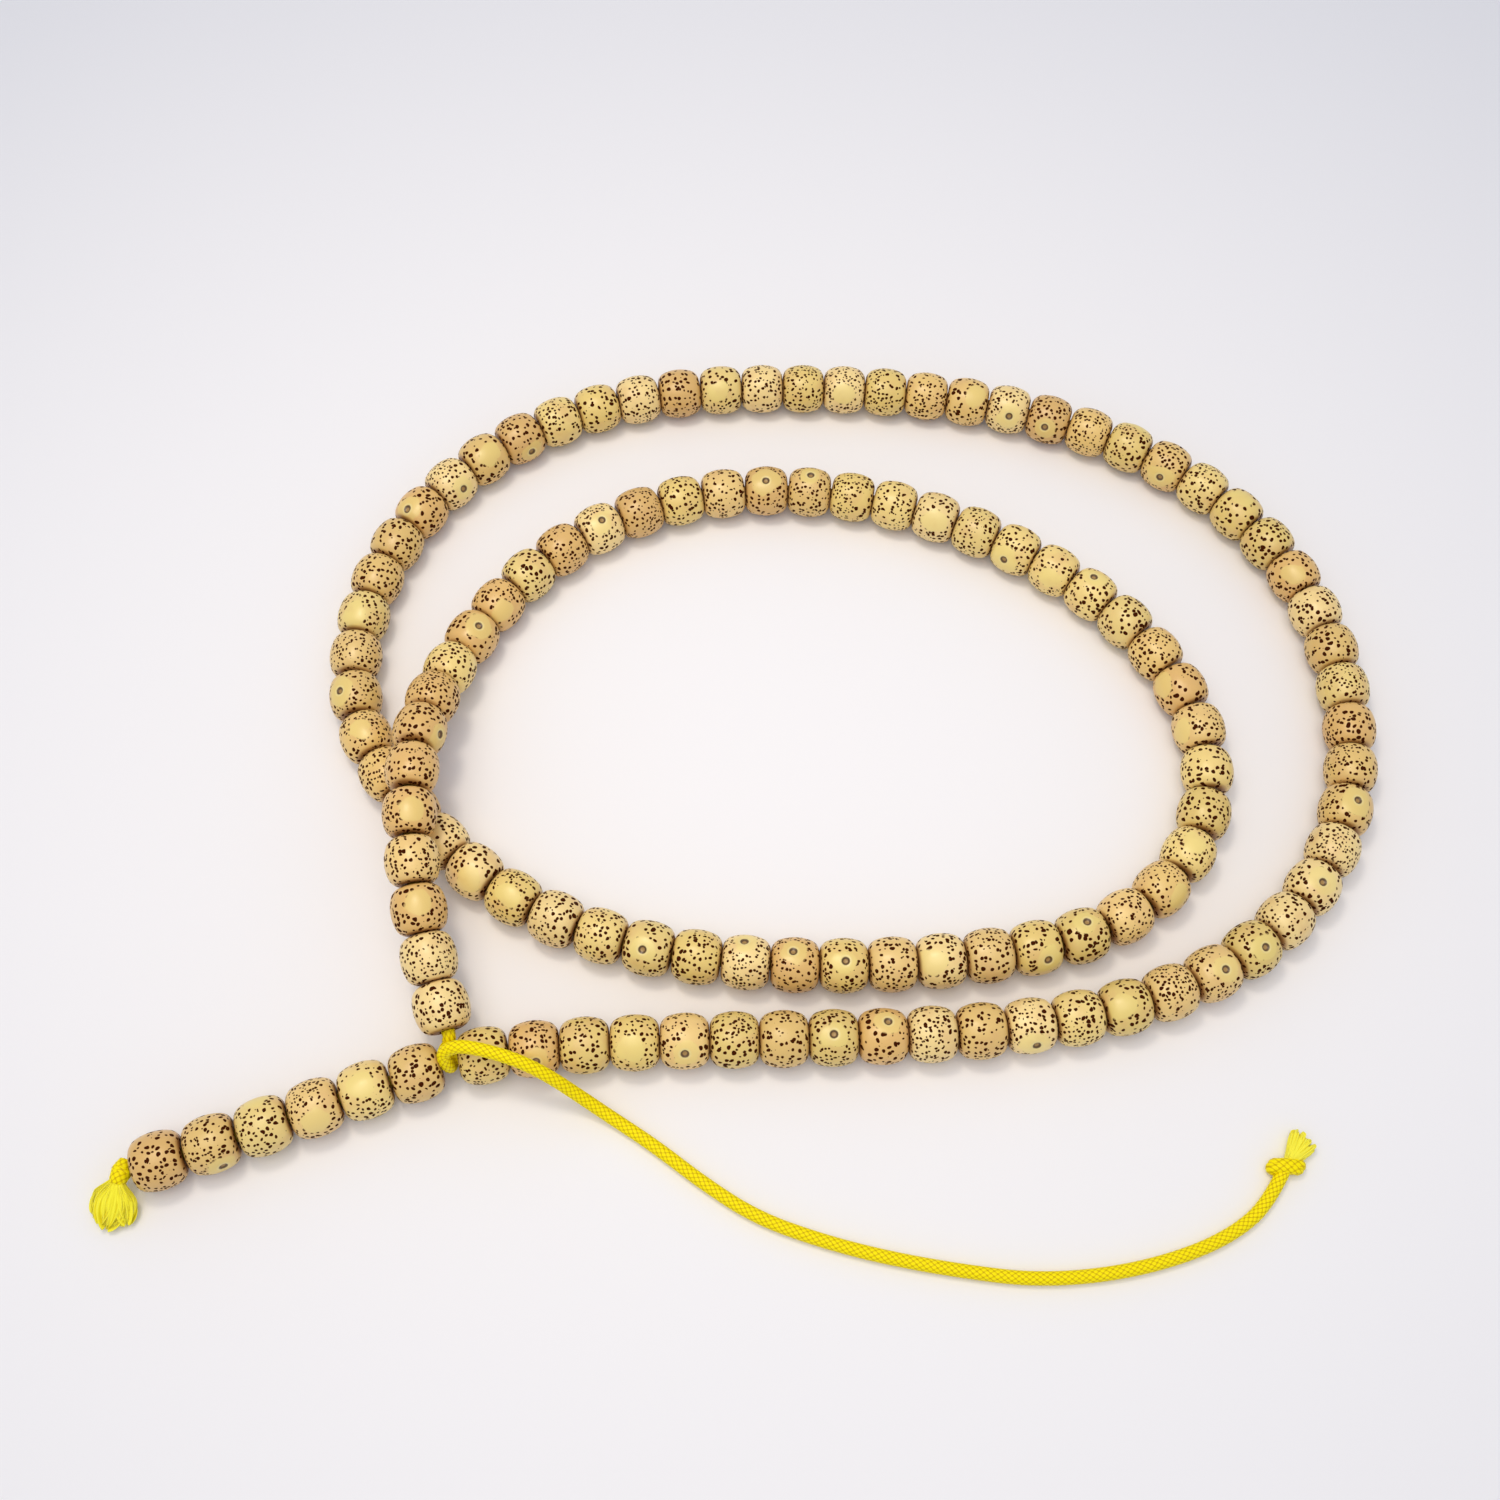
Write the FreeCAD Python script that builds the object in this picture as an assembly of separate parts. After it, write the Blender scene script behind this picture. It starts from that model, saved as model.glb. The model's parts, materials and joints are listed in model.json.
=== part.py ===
"""Mala prayer beads: 108 counting beads on one braided cord, lying as a doubled loop.

The cord runs through a spare run of six beads, past the hitch, once through all the
counting beads, and back to the hitch, where its own tail hooks round it and lies free.
Millimetres and degrees. +X is to the right along the longer side of the loop, +Y away
from the hitch's side, +Z up, and the beads rest on z = 0.
"""
import FreeCAD
import Part
import math
import os

Vector = FreeCAD.Vector

# Beads
BEAD_DIAMETER = 8.0
BEAD_LENGTH = 6.75
BEAD_BORE = 2.4
END_FACE_DIAMETER = 3.0
CROWN_RADIUS = 6.5
BORE_CHAMFER = 0.2
BEAD_GAP = 0.15
COUNTING_BEADS = 108
SPARE_BEADS = 6
LOOSE_BEADS = 40

# Cord
CORD_DIAMETER = 1.9
LINK_CLEARANCE = 0.05
SPARE_FLEX = 6.0
HITCH_GAP = 2.5
ARC_SHARE = 0.45

# Knots and frayed ends
START_KNOT_DIAMETER = 2.9
START_KNOT_LENGTH = 3.7
TUFT_WIDTH = 6.0
TUFT_LENGTH = 5.8
TUFT_THICKNESS = 2.2
TUFT_REACH = Vector(-1.0, -4.3, 0)
TAIL_KNOT_DIAMETER = 2.6
TAIL_KNOT_LENGTH = 4.6
TIP_REACH = Vector(3.2, 4.4, 0)
TIP_DIAMETER = 2.7

# Plan of the strand. Each pair is a bead's number and how far the strand turns
# there, in degrees to the left; between two pairs the turn changes evenly.
GAP_HEADING = 22.0
LOOP_TURNS = (
    (1, -8.4), (3, -1.6), (6, -0.4), (10, 1.0), (14, 4.3), (18, 8.5), (21, 9.3),
    (24, 6.2), (28, 8.6), (32, 6.1), (36, 3.7), (41, 1.7), (45, 6.3), (48, 7.3),
    (51, 8.5), (54, 8.0), (56, 14.1), (58, 4.7), (61, 7.6), (64, 5.3), (68, 2.2),
    (72, 3.0), (74, 11.7), (76, 13.9), (78, 14.9), (81, 10.2), (85, 4.7), (90, 5.8),
    (95, 8.1), (100, 7.7), (104, 4.9), (108, 2.6),
)
SPARE_TURNS = (0.1, 1.6, 0.3, 0.0, -1.5, -1.1)

# The inner round climbs over the outer one and comes down to the hitch.
CLIMB_START = 98
CLIMB_TOP = 103
DESCENT_END = 109.5
CROSSING_CLEARANCE = 0.2

# Where the cord leaves the last counting bead, along and across the string at the hitch
EXIT_ALONG = 1.0
EXIT_RISE = 1.75
END_BEAD_CLEARANCE = 0.5

# Routes beyond the last counting bead: x and y from the middle of the hitch's gap, z
# above the floor. The hitch goes down behind the string, under it and up in front; the
# tail then crosses the first counting beads and lies on the floor.
HITCH_ROUTE = (
    (-0.24, 2.6, 5.35), (-0.45, 2.02, 3.15), (-0.16, 0.85, 1.95), (0.3, -0.8, 1.95),
    (0.6, -1.97, 3.15), (0.45, -2.02, 4.9), (0.0, -0.97, 6.5), (0.0, 0.3, 8.1),
)
TAIL_ROUTE = (
    (1.5, 0.9, 10.0), (3.8, 0.1, 11.9), (7.0, -0.4, 11.9), (10.8, -1.4, 11.2),
    (14.6, -2.7, 9.0), (18.4, -4.2, 4.7), (22.8, -6.0, 1.4), (28.9, -9.1, 1.0),
    (35.7, -13.7, 1.0), (43.1, -17.9, 1.0), (51.5, -20.4, 1.0), (60.4, -22.2, 1.0),
    (70.3, -23.4, 1.0), (81.1, -24.1, 1.0), (92.5, -22.5, 1.0), (102.9, -19.1, 1.0),
    (109.9, -15.0, 1.0), (113.5, -10.8, 1.0), (115.2, -7.6, 1.2),
)

# Worked out from the sizes above
BEAD_RADIUS = BEAD_DIAMETER / 2
CORD_RADIUS = CORD_DIAMETER / 2
STRAIGHT_PITCH = BEAD_LENGTH + BEAD_GAP
CROWN_CENTRE = BEAD_RADIUS - CROWN_RADIUS
FACE_RADIUS = END_FACE_DIAMETER / 2
FACE_REACH = FACE_RADIUS - CROWN_CENTRE
SHOULDER_RADIUS = (
    (CROWN_RADIUS ** 2 - (BEAD_LENGTH / 2) ** 2 - FACE_REACH ** 2)
    / (2 * CROWN_RADIUS - BEAD_LENGTH)
)
CROSSING_RISE = BEAD_DIAMETER + CROSSING_CLEARANCE


def heading_vector(degrees, length=1.0):
    """A flat vector of a given length along a heading."""
    angle = math.radians(degrees)
    return Vector(math.cos(angle), math.sin(angle), 0) * length


def turn_at(bead):
    """The strand's turn at a counting bead, read between the listed beads."""
    for (first, turn), (last, next_turn) in zip(LOOP_TURNS, LOOP_TURNS[1:]):
        if bead <= last:
            return turn + (next_turn - turn) * (bead - first) / (last - first)
    return LOOP_TURNS[-1][1]


def descent_share(junction):
    """How much of the crossing's height is left on the way down to the hitch."""
    along = (junction - CLIMB_TOP) / (DESCENT_END - CLIMB_TOP)
    return (1 + math.cos(math.pi * along)) / 2


def rise_at(junction):
    """How far the cord lies above a resting bead's axis, at a junction of beads."""
    if junction <= CLIMB_START:
        return 0.0
    if junction <= CLIMB_TOP:
        along = (junction - CLIMB_START) / (CLIMB_TOP - CLIMB_START)
        return CROSSING_RISE * (1 - math.cos(math.pi * along)) / 2
    last = descent_share(COUNTING_BEADS)
    foot = (EXIT_RISE - CROSSING_RISE * last) / (1 - last)
    return foot + (CROSSING_RISE - foot) * descent_share(junction)


def standoff(turn):
    """How far a bead's end stands from a junction where the cord turns by an angle.

    Half the bead gap is left between the bead's shoulder and the junction's middle plane.
    """
    lean = abs(turn) / 2
    shoulder = SHOULDER_RADIUS * (1 / math.cos(lean) - 1)
    return BEAD_GAP / 2 + FACE_RADIUS * math.tan(lean) + shoulder


def directions(headings, climbs, steps):
    """The cord's direction through each bead, from its heading and its climb."""
    listed = []
    for heading, climb, step in zip(headings, climbs, steps):
        level = math.sqrt(step ** 2 - climb ** 2)
        listed.append((heading_vector(heading, level) + Vector(0, 0, climb)) * (1 / step))
    return listed


def walk(start, ways, standoffs):
    """Junctions from a start, one bead's length and two standoffs apart.

    Returns the junctions and the middles of the beads between them.
    """
    junctions, middles = [start], []
    for way, before, after in zip(ways, standoffs, standoffs[1:]):
        middles.append(junctions[-1] + way * (before + BEAD_LENGTH / 2))
        junctions.append(junctions[-1] + way * (before + BEAD_LENGTH + after))
    return junctions, middles


def exit_point():
    """Where the cord leaves the last counting bead, beside the hitch's gap.

    The last bead stands back from the first one by a bead's diameter and a clearance.
    """
    beside = HITCH_GAP / 2 + STRAIGHT_PITCH / 2 - EXIT_ALONG
    spread = BEAD_DIAMETER + END_BEAD_CLEARANCE
    centre_rise = (rise_at(COUNTING_BEADS - 1) + rise_at(COUNTING_BEADS)) / 2
    across = math.sqrt(spread ** 2 - beside ** 2 - centre_rise ** 2) - BEAD_LENGTH / 2
    along = heading_vector(GAP_HEADING, EXIT_ALONG)
    side = heading_vector(GAP_HEADING + 90, across)
    return along + side + Vector(0, 0, BEAD_RADIUS + EXIT_RISE)


def loop_line():
    """The cord's junctions between the counting beads, and the beads' middles.

    The standoffs follow from the turns and the climbs, so they are worked out twice.
    What the last junction misses its place by is shared out evenly along the loop.
    """
    headings, heading = [], GAP_HEADING
    for bead in range(1, COUNTING_BEADS + 1):
        heading += turn_at(bead)
        headings.append(heading)
    climbs = [rise_at(j + 1) - rise_at(j) for j in range(COUNTING_BEADS)]
    steps = [STRAIGHT_PITCH] * COUNTING_BEADS
    for _ in range(2):
        ways = directions(headings, climbs, steps)
        bends = [0.0] + [a.getAngle(b) for a, b in zip(ways, ways[1:])] + [0.0]
        standoffs = [standoff(bend) for bend in bends]
        steps = [BEAD_LENGTH + a + b for a, b in zip(standoffs, standoffs[1:])]
    start = heading_vector(GAP_HEADING, HITCH_GAP / 2) + Vector(0, 0, BEAD_RADIUS)
    junctions, middles = walk(start, ways, standoffs)
    miss = (exit_point() - junctions[-1]) * (1 / COUNTING_BEADS)
    print("closing shift per bead", round(miss.Length, 4))
    junctions = [point + miss * j for j, point in enumerate(junctions)]
    middles = [point + miss * (j + 0.5) for j, point in enumerate(middles)]
    return junctions, middles


def spare_line():
    """The junctions and bead middles of the spare run, from the hitch to the stopper.

    Each junction leaves room to flex by the spare flex beyond its own turn.
    """
    headings, heading = [], GAP_HEADING + 180
    for turn in SPARE_TURNS:
        heading += turn
        headings.append(heading)
    reach = [math.radians(abs(turn) + SPARE_FLEX) for turn in SPARE_TURNS[1:]]
    standoffs = [standoff(turn) for turn in [0.0] + reach + [0.0]]
    start = heading_vector(GAP_HEADING, -HITCH_GAP / 2) + Vector(0, 0, BEAD_RADIUS)
    return walk(start, [heading_vector(heading) for heading in headings], standoffs)


def bead_blank():
    """One bead about X: flat drilled ends, rounded shoulders and a crowned side.

    Each shoulder's arc touches the end face and the crown's arc.
    """
    half = BEAD_LENGTH / 2
    face = FACE_RADIUS
    bore = BEAD_BORE / 2
    cx, cy = half - SHOULDER_RADIUS, face
    meet = CROWN_RADIUS / (CROWN_RADIUS - SHOULDER_RADIUS)
    tx, ty = cx * meet, CROWN_CENTRE + FACE_REACH * meet
    middle = math.radians(45)
    mx, my = cx + SHOULDER_RADIUS * math.sin(middle), cy + SHOULDER_RADIUS * math.cos(middle)
    right = [
        Part.LineSegment(Vector(half - BORE_CHAMFER, bore, 0), Vector(half, bore + BORE_CHAMFER, 0)),
        Part.LineSegment(Vector(half, bore + BORE_CHAMFER, 0), Vector(half, face, 0)),
        Part.Arc(Vector(half, face, 0), Vector(mx, my, 0), Vector(tx, ty, 0)),
    ]
    left = [
        Part.Arc(Vector(-tx, ty, 0), Vector(-mx, my, 0), Vector(-half, face, 0)),
        Part.LineSegment(Vector(-half, face, 0), Vector(-half, bore + BORE_CHAMFER, 0)),
        Part.LineSegment(Vector(-half, bore + BORE_CHAMFER, 0), Vector(BORE_CHAMFER - half, bore, 0)),
    ]
    crown = Part.Arc(Vector(tx, ty, 0), Vector(0, BEAD_RADIUS, 0), Vector(-tx, ty, 0))
    wall = Part.LineSegment(Vector(BORE_CHAMFER - half, bore, 0), Vector(half - BORE_CHAMFER, bore, 0))
    outline = Part.Wire([curve.toShape() for curve in right + [crown] + left + [wall]])
    return Part.Face(outline).revolve(Vector(), Vector(1, 0, 0), 360)


def placed_along(shape, middle, way):
    """A copy of a shape made about X, turned along a direction and moved to a middle."""
    copy = shape.copy()
    copy.Placement = FreeCAD.Placement(middle, FreeCAD.Rotation(Vector(1, 0, 0), way))
    return copy


def rounded_path(points):
    """Straight runs joined by tangent arcs, each arc as large as its two runs allow."""
    edges, last, radii = [], points[0], []
    for before, corner, after in zip(points, points[1:], points[2:]):
        back, ahead = before - corner, after - corner
        turn = math.pi - back.getAngle(ahead)
        cut = ARC_SHARE * min(back.Length, ahead.Length)
        radius = cut / math.tan(turn / 2)
        radii.append(radius)
        back.normalize()
        ahead.normalize()
        first, final = corner + back * cut, corner + ahead * cut
        inward = back + ahead
        inward.normalize()
        middle = corner + inward * (radius / math.cos(turn / 2) - radius)
        edges.append(Part.LineSegment(last, first).toShape())
        edges.append(Part.Arc(first, middle, final).toShape())
        last = final
    edges.append(Part.LineSegment(last, points[-1]).toShape())
    return Part.Wire(edges), radii


def cord_tube(points, name):
    """The cord along a route, with a report of its bends and volume."""
    path, radii = rounded_path(points)
    ahead = points[1] - points[0]
    section = Part.Wire(Part.makeCircle(CORD_RADIUS, points[0], ahead))
    tube = path.makePipeShell([section], True, False)
    share = tube.Volume / (math.pi * CORD_RADIUS ** 2 * path.Length)
    listed = " ".join(f"{radius:.1f}" for radius in radii)
    print(f"{name}: length {path.Length:.1f}, volume share {share:.5f}, radii {listed}")
    return tube


def string_link(pivot, end, last):
    """One bead's stretch of the spare run's cord, free to bend at its pivot.

    It starts flat just past the round end of the stretch before it, and ends round
    about the next pivot, or inside the stopper knot.
    """
    ahead = end - pivot
    ahead.normalize()
    start = pivot + ahead * (CORD_RADIUS + LINK_CLEARANCE)
    link = Part.makeCylinder(CORD_RADIUS, (end - start).Length, start, ahead)
    if last:
        return link
    return link.fuse(Part.makeSphere(CORD_RADIUS, end)).removeSplitter()


def knot(centre, axis, diameter, length):
    """The outer shape of a pulled-down knot: a round-ended bar about an axis."""
    radius = diameter / 2
    along = Vector(axis)
    along.normalize()
    straight = along * (length - diameter)
    start = centre - straight * 0.5
    bar = Part.makeCylinder(radius, straight.Length, start, along)
    for end in (start, start + straight):
        bar = bar.fuse(Part.makeSphere(radius, end))
    return bar.removeSplitter()


def start_tuft(knot_centre):
    """The frayed end beyond the stopper knot, splayed flat on the floor."""
    centre = knot_centre + TUFT_REACH
    centre.z = TUFT_THICKNESS / 2
    scale = FreeCAD.Matrix()
    scale.scale(TUFT_WIDTH / 2, TUFT_LENGTH / 2, TUFT_THICKNESS / 2)
    fan = Part.makeSphere(1.0).transformGeometry(scale)
    fan.translate(centre)
    neck = centre - knot_centre
    return fan.fuse(Part.makeCylinder(CORD_RADIUS * 0.9, neck.Length, knot_centre, neck))


def tail_tip(knot_centre):
    """The melted and frayed tip beyond the tail's knot, widening to a blunt end."""
    reach = knot_centre + TIP_REACH - Vector(0, 0, knot_centre.z - TIP_DIAMETER / 2)
    along = reach - knot_centre
    cone = Part.makeCone(CORD_RADIUS, TIP_DIAMETER / 2, along.Length, knot_centre, along)
    return cone


def is_loose(bead):
    """Whether a counting bead is one of those that turn by themselves."""
    return bead * LOOSE_BEADS % COUNTING_BEADS < LOOSE_BEADS


def build():
    """Every node's shape by name, in the row's frame."""
    blank = bead_blank()
    loop, loop_middles = loop_line()
    spare, spare_middles = spare_line()
    nodes = {}
    groups = {"outer_beads": [], "inner_beads": []}
    for number in range(1, COUNTING_BEADS + 1):
        way = loop[number] - loop[number - 1]
        bead = placed_along(blank, loop_middles[number - 1], way)
        if is_loose(number):
            nodes[f"counting_bead_{number:03d}"] = bead
        else:
            side = "outer_beads" if number <= COUNTING_BEADS / 2 else "inner_beads"
            groups[side].append(bead)
    for name, beads in groups.items():
        nodes[name] = Part.makeCompound(beads)
    hitch = [Vector(*point) for point in HITCH_ROUTE]
    tail = [Vector(*point) for point in TAIL_ROUTE]
    leave = (hitch[-1] + tail[0]) * 0.5
    string = cord_tube([spare[0]] + loop + hitch + [leave], "string")
    nodes["string"] = string.fuse(Part.makeSphere(CORD_RADIUS, spare[0])).removeSplitter()

    outward = spare[-1] - spare[-2]
    outward.normalize()
    stopper = spare[-1] + outward * (START_KNOT_DIAMETER / 2)
    for number in range(1, SPARE_BEADS + 1):
        last = number == SPARE_BEADS
        end = stopper if last else spare[number]
        way = spare[number] - spare[number - 1]
        nodes[f"spare_bead_{number}"] = placed_along(blank, spare_middles[number - 1], way)
        nodes[f"spare_string_{number}"] = string_link(spare[number - 1], end, last)
    nodes["start_knot"] = knot(stopper, TUFT_REACH, START_KNOT_DIAMETER, START_KNOT_LENGTH)
    nodes["start_tuft"] = start_tuft(stopper)

    nodes["tail_cord"] = cord_tube([leave] + tail, "tail_cord")
    knot_centre = tail[-1] + (tail[-1] - tail[-2]).normalize() * (TAIL_KNOT_DIAMETER / 4)
    knot_centre.z = TAIL_KNOT_DIAMETER / 2
    across = TIP_REACH.cross(Vector(0, 0, 1))
    nodes["tail_knot"] = knot(knot_centre, across, TAIL_KNOT_DIAMETER, TAIL_KNOT_LENGTH)
    nodes["tail_tip"] = tail_tip(knot_centre)
    return nodes


def centred(nodes):
    """Move all nodes so that the object without its free tail is centred on X and Y."""
    held = [shape for name, shape in nodes.items() if not name.startswith("tail_")]
    box = FreeCAD.BoundBox()
    for shape in held:
        box.add(shape.optimalBoundingBox(False, False))
    shift = Vector(-box.Center.x, -box.Center.y, 0)
    for shape in nodes.values():
        shape.translate(shift)
    print("hitch at", tuple(round(value, 4) for value in shift))
    return shift


nodes = build()
origin_shift = centred(nodes)
os.makedirs("parts", exist_ok=True)
for name, shape in nodes.items():
    shape.exportStep(f"parts/{name}.step")
print(len(nodes), "nodes")
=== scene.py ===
"""Mala prayer beads: turned seed beads on a yellow braided cord, in a doubled loop.

The bead strand, the hitch, the knots and the cord's frayed ends are worked out as numpy
surfaces in millimetres and turned to metres when they become meshes. The strand's plan
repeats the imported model's own sizes, so every bead lies where its solid does.
"""
from __future__ import annotations

import json
import logging
import math
from dataclasses import dataclass, field
from enum import Enum
from functools import partial
from typing import Any, Sequence

import bpy
import numpy as np
from mathutils import Matrix, Vector

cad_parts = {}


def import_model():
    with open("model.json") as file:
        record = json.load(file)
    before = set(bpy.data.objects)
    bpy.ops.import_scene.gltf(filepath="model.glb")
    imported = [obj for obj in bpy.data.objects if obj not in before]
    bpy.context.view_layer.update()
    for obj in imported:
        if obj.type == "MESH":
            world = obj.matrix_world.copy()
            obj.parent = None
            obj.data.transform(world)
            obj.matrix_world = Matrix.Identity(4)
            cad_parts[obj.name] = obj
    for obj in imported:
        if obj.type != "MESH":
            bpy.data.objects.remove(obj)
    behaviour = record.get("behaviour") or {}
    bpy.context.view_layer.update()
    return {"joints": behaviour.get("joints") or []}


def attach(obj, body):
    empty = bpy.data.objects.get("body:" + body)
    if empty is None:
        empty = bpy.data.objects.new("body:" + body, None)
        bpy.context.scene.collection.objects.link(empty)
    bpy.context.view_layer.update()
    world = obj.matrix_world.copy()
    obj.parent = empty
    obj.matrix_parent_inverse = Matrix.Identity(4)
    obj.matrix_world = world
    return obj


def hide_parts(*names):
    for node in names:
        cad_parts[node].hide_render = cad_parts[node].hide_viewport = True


log = logging.getLogger("mala")
MM = 0.001
Array = np.ndarray
Spot = tuple[float, float]
Point = tuple[float, float, float]
Marks = dict[int, Spot]
Rng = np.random.Generator

UP = np.array([0.0, 0.0, 1.0])
TURN = 2 * math.pi

# Node kinds and settings that the finishes use many times.
MATH, FADE, NOISE = "ShaderNodeMath", "ShaderNodeMapRange", "ShaderNodeTexNoise"
TIMES = {"operation": "MULTIPLY"}
TIMES_PLUS = {"operation": "MULTIPLY_ADD"}
LESS = {"operation": "SUBTRACT"}
SMOOTH = {"interpolation_type": "SMOOTHSTEP"}
COLOURS = {"data_type": "RGBA"}

# A point attribute's type and the name of its data, by how many numbers it has.
ATTRIBUTE_KINDS = {
    1: ("FLOAT", "value"),
    3: ("FLOAT_VECTOR", "vector"),
    4: ("FLOAT_COLOR", "color"),
}


# --------------------------------------------------------------------------- helpers


def linear(hex_colour: str, alpha: float = 1.0) -> tuple[float, float, float, float]:
    """Turn an sRGB hex colour to the linear values that shaders take.

    Args:
        hex_colour: six hex digits, with or without a leading hash.
        alpha: the fourth value.

    Returns:
        Linear red, green and blue, and alpha.
    """
    digits = hex_colour.lstrip("#")
    srgb = np.array([int(digits[i : i + 2], 16) for i in (0, 2, 4)]) / 255.0
    rgb = np.where(srgb <= 0.04045, srgb / 12.92, ((srgb + 0.055) / 1.055) ** 2.4)
    return (float(rgb[0]), float(rgb[1]), float(rgb[2]), alpha)


def add_node(
    tree: bpy.types.NodeTree,
    kind: str,
    settings: dict[str, Any] | None = None,
    inputs: dict[str | int, Any] | None = None,
) -> bpy.types.Node:
    """Add a shader node with its settings, its values and its links.

    Args:
        tree: the node tree to add to.
        kind: the node's type name.
        settings: properties of the node itself.
        inputs: a value, or another node's output socket, for each named input.

    Returns:
        The new node.
    """
    node = tree.nodes.new(kind)
    for name, value in (settings or {}).items():
        setattr(node, name, value)
    for name, value in (inputs or {}).items():
        socket = node.inputs[name]
        if isinstance(value, bpy.types.NodeSocket):
            tree.links.new(value, socket)
        else:
            socket.default_value = value
    return node


def new_material(name: str) -> tuple[bpy.types.Material, bpy.types.NodeTree]:
    """A material with an empty node tree, and the tree."""
    material = bpy.data.materials.new(name)
    material.use_nodes = True
    material.node_tree.nodes.clear()
    return material, material.node_tree


def add_object(name: str, data: bpy.types.ID) -> bpy.types.Object:
    """A new object in the scene that holds a mesh, curve, lamp or camera."""
    made = bpy.data.objects.new(name, data)
    bpy.context.scene.collection.objects.link(made)
    return made


def smooth_step(value: Array, low: float, high: float) -> Array:
    """Rise from 0 at low to 1 at high along 3t^2 - 2t^3."""
    t = np.clip((value - low) / (high - low), 0.0, 1.0)
    return t * t * (3.0 - 2.0 * t)


def unit(vectors: Array) -> Array:
    """Divide each vector by its length."""
    return vectors / np.linalg.norm(vectors, axis=-1, keepdims=True)


def heading(degrees: Array | float) -> Array:
    """Unit vectors on the floor at headings counted from +X towards +Y."""
    angle = np.radians(degrees)
    return np.stack([np.cos(angle), np.sin(angle), np.zeros_like(angle)], axis=-1)


@dataclass
class Surface:
    """Points, faces and point attributes of one closed surface, in millimetres."""

    points: Array
    faces: Array
    values: dict[str, Array] = field(default_factory=dict)

    @staticmethod
    def grid(points: Array, wrap_u: bool, wrap_v: bool, **values: Array) -> "Surface":
        """Join a grid of points by quads.

        The face at row i and column j takes the points (i, j), (i, j+1), (i+1, j+1) and
        (i+1, j), and a wrapped direction runs back to its start.

        Args:
            points: an array of rows by columns by three.
            wrap_u: whether the last row joins the first.
            wrap_v: whether the last column joins the first.
            values: attributes on the same grid.

        Returns:
            The surface.
        """
        rows, columns = points.shape[:2]
        i = np.arange(rows if wrap_u else rows - 1)[:, None]
        j = np.arange(columns if wrap_v else columns - 1)[None, :]
        i2, j2 = (i + 1) % rows, (j + 1) % columns
        corners = [i * columns + j, i * columns + j2, i2 * columns + j2, i2 * columns + j]
        faces = np.stack([c + 0 * (i + j) for c in corners], axis=-1).reshape(-1, 4)
        flat = {k: v.reshape(rows * columns, -1) for k, v in values.items()}
        return Surface(points.reshape(-1, 3), faces, flat)

    @staticmethod
    def tube(rings: Array, **values: Array) -> "Surface":
        """Join rings by quads and close each end at one point, its ring's middle.

        Args:
            rings: an array of rings by points by three, each ring closed on itself.
            values: attributes on the same grid.

        Returns:
            The surface. An end's triangles name their end point twice.
        """
        count, around = rings.shape[:2]
        here = np.arange(around)
        after = (here + 1) % around
        far = (count - 1) * around
        first = np.full(around, count * around)
        last = first + 1
        near_end = np.stack([first, first, after, here], axis=1)
        far_end = np.stack([far + here, far + after, last, last], axis=1)
        side = Surface.grid(rings, False, True, **values)
        faces = np.concatenate([near_end, side.faces, far_end])
        points = np.concatenate([side.points, rings[[0, -1]].mean(axis=1)])
        ended = {
            name: np.concatenate([side.values[name], value[[0, -1]].mean(axis=1)])
            for name, value in values.items()
        }
        return Surface(points, faces, ended)

    @staticmethod
    def joined(parts: Sequence["Surface"]) -> "Surface":
        """Several surfaces as one, each with the same attributes."""
        starts = np.cumsum([0] + [len(p.points) for p in parts[:-1]])
        faces = np.concatenate([p.faces + s for p, s in zip(parts, starts)])
        names = parts[0].values.keys()
        values = {k: np.concatenate([p.values[k] for p in parts]) for k in names}
        return Surface(np.concatenate([p.points for p in parts]), faces, values)

    def piece(
        self, name: str, finish: bpy.types.Material, body: str, slot: str, *replaced: str
    ) -> bpy.types.Object:
        """Make the mesh object, smooth shaded and facing outwards, and put it on its body.

        Args:
            name: the piece's name.
            finish: its material.
            body: the body it rides on.
            slot: the record's material slot. Not used.
            replaced: the solids it stands for.

        Returns:
            The object, at the origin, with its place in its mesh.
        """
        distinct = np.ones(self.faces.shape, bool)
        distinct[:, 1:] = self.faces[:, 1:] != self.faces[:, :-1]
        corners, sizes = self.faces[distinct], distinct.sum(axis=1)
        mesh = bpy.data.meshes.new(name)
        mesh.vertices.add(len(self.points))
        mesh.vertices.foreach_set("co", (self.points * MM).astype(np.float32).ravel())
        mesh.loops.add(len(corners))
        mesh.loops.foreach_set("vertex_index", corners.astype(np.int32))
        mesh.polygons.add(len(sizes))
        mesh.polygons.foreach_set("loop_start", (np.cumsum(sizes) - sizes).astype(np.int32))
        mesh.polygons.foreach_set("use_smooth", np.ones(len(sizes), bool))
        mesh.update(calc_edges=True)
        for key, value in self.values.items():
            kind, part = ATTRIBUTE_KINDS[value.shape[1]]
            attribute = mesh.attributes.new(key, kind, "POINT")
            packed = np.ascontiguousarray(value, np.float32)
            attribute.data.foreach_set(part, packed.ravel())
        if signed_volume(self.points, self.faces) < 0:
            mesh.flip_normals()
        mesh.update()
        mesh.validate()
        mesh.materials.append(finish)
        piece = add_object(name, mesh)
        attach(piece, body)
        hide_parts(*replaced)
        log.info("%s: %d faces on %s", name, len(sizes), body)
        return piece


def signed_volume(points: Array, faces: Array) -> float:
    """A sixth of the sum of a . (b x c) over each quad's two triangles."""
    a, b, c, d = (points[faces[:, k]] for k in range(4))
    first = np.einsum("ij,ij->i", a, np.cross(b, c)).sum()
    second = np.einsum("ij,ij->i", a, np.cross(c, d)).sum()
    return float(first + second) / 6.0


# --------------------------------------------------------------------------- finishes


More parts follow.
